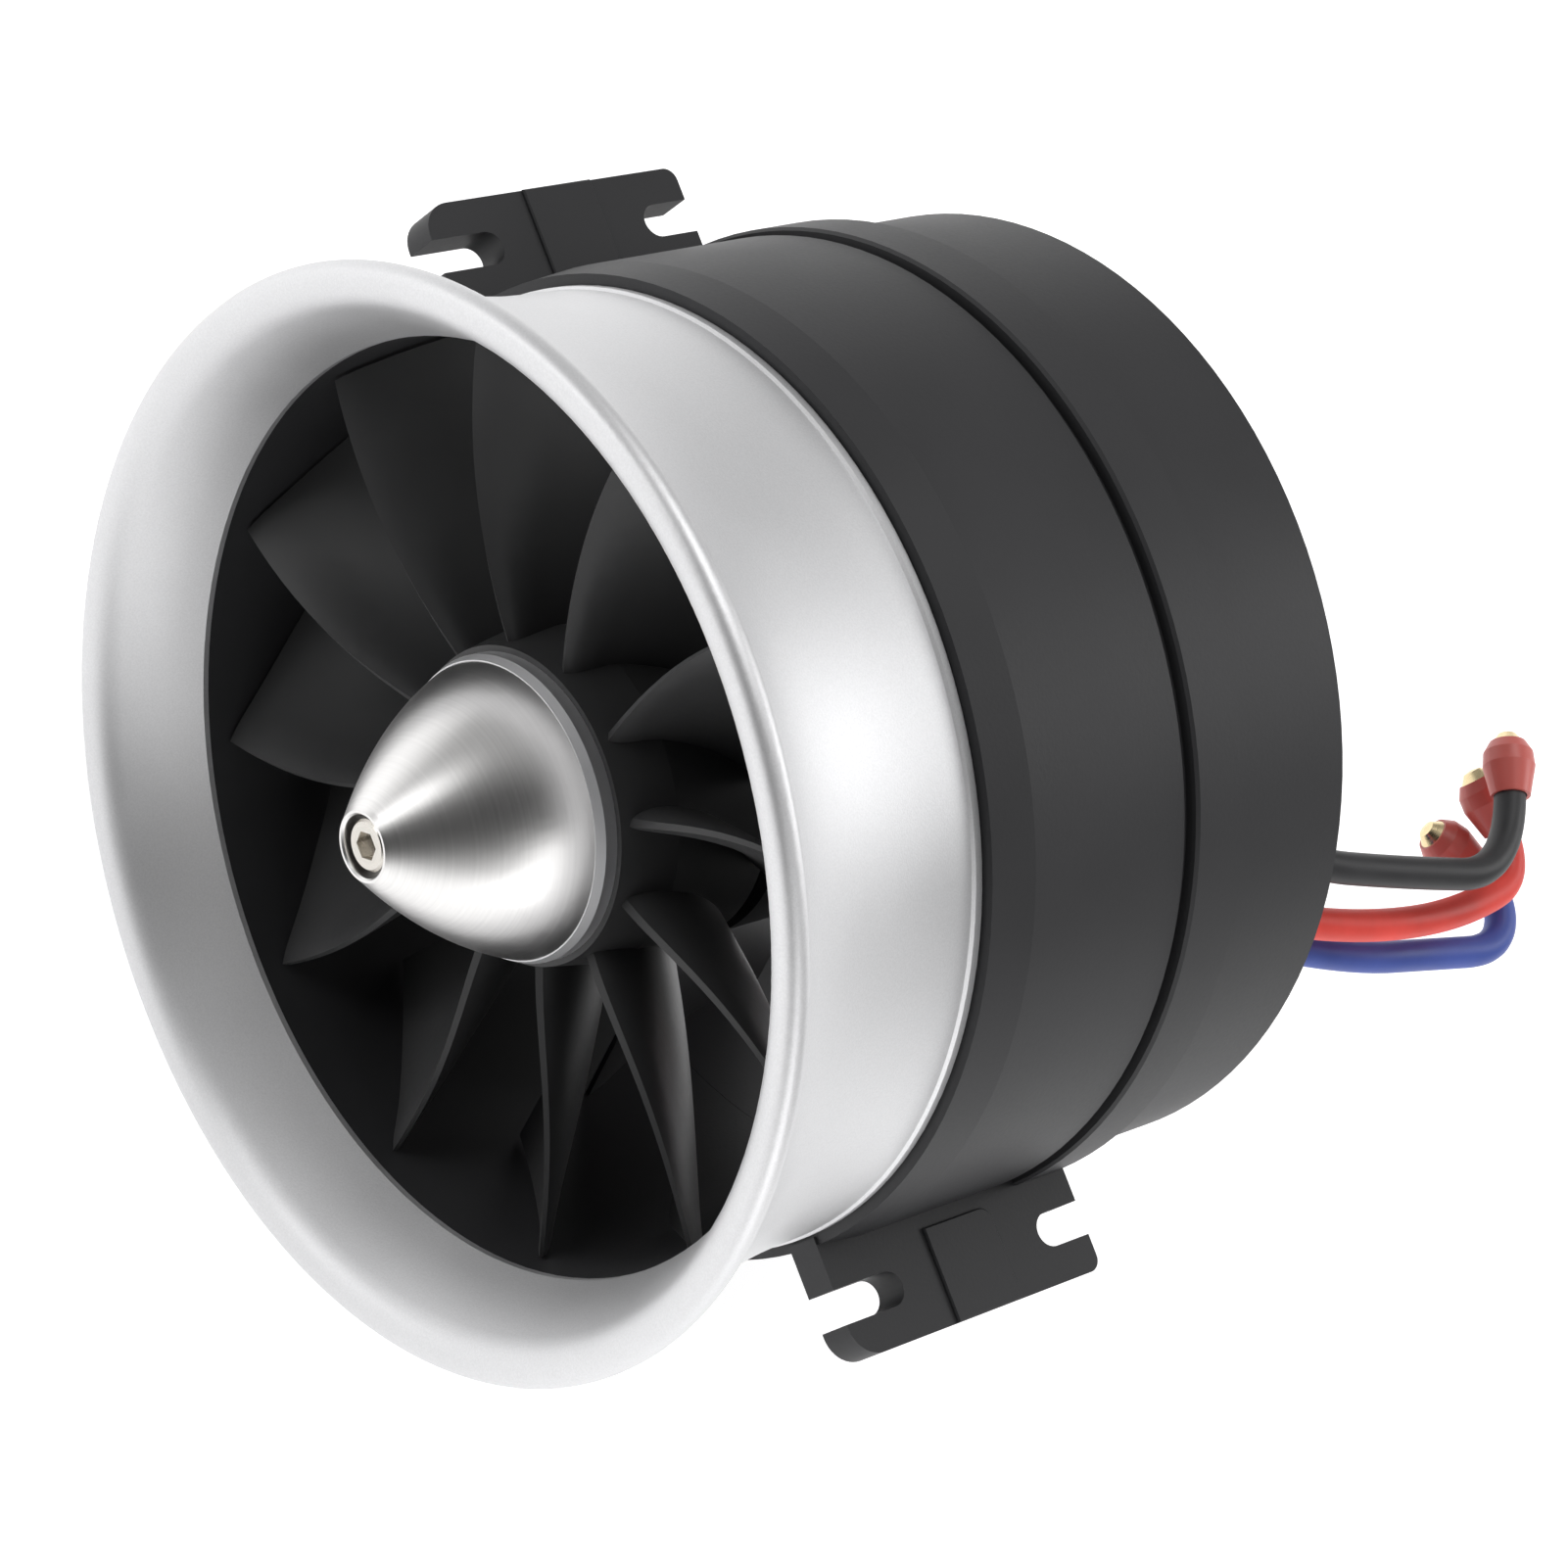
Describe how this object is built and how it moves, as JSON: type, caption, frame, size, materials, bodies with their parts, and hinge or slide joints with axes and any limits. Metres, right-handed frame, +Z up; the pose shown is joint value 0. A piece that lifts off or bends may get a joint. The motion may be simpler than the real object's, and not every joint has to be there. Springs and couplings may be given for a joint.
{
  "type": "ducted fan unit",
  "caption": "Electric ducted fan for a model jet: bladed rotor with metal spinner in a round duct with intake lip, side mounting ears, motor and three leads.",
  "frame": {"origin": "on the rotor axis, in the middle of the plain band at the rear of the duct that a thrust tube slides over", "axes": "+Y along the rotor axis from intake to exhaust, so the air goes towards +Y; the two mounting ears point along +X and -X; +Z up, square to the ears' flat faces"},
  "size_m": [0.1184, 0.1456, 0.105],
  "materials": {
    "lip_silver": "satin, bead blasted",
    "shroud_black": "moulded, fine matt",
    "blade_black": "moulded, satin",
    "adapter_metal": "machined",
    "plate_grey": "satin",
    "spinner_metal": "polished, turned",
    "screw_metal": "nickel plated",
    "motor_metal": "machined",
    "can_metal": "anodised black",
    "steel": "ground",
    "magnet_metal": "plated",
    "core_steel": "laminated",
    "copper": "enamelled copper wire",
    "silicone_black": "silicone",
    "silicone_red": "silicone",
    "silicone_blue": "silicone",
    "gold": "gold plated",
    "shrink_red": "heat shrink"
  },
  "bodies": {
    "duct": {"intake_lip": "lip_silver", "fan_shroud": "shroud_black", "stator_housing": "shroud_black", "motor_front_bell": "motor_metal", "motor_can": "can_metal", "motor_rear_bell": "motor_metal", "front_bearing": "steel", "rear_bearing": "steel", "stator_core": "core_steel", "stator_windings": "copper", "motor_screws": "screw_metal", "tail_cone": "shroud_black", "lead_black": "silicone_black", "lead_red": "silicone_red", "lead_blue": "silicone_blue", "bullet_black": "gold", "bullet_red": "gold", "bullet_blue": "gold", "sleeve_black": "shrink_red", "sleeve_red": "shrink_red", "sleeve_blue": "shrink_red"},
    "rotor": {"rotor_fan": "blade_black", "rotor_adapter": "adapter_metal", "spinner_plate": "plate_grey", "spinner_cone": "spinner_metal", "spinner_screw": "screw_metal", "motor_shaft": "steel", "rotor_magnet": "magnet_metal"}
  },
  "joints": [
    {"name": "rotor_spin", "type": "hinge", "parent": "duct", "child": "rotor", "pos_m": [0, 0, 0], "axis": [0, 1, 0], "continuous": true}
  ]
}
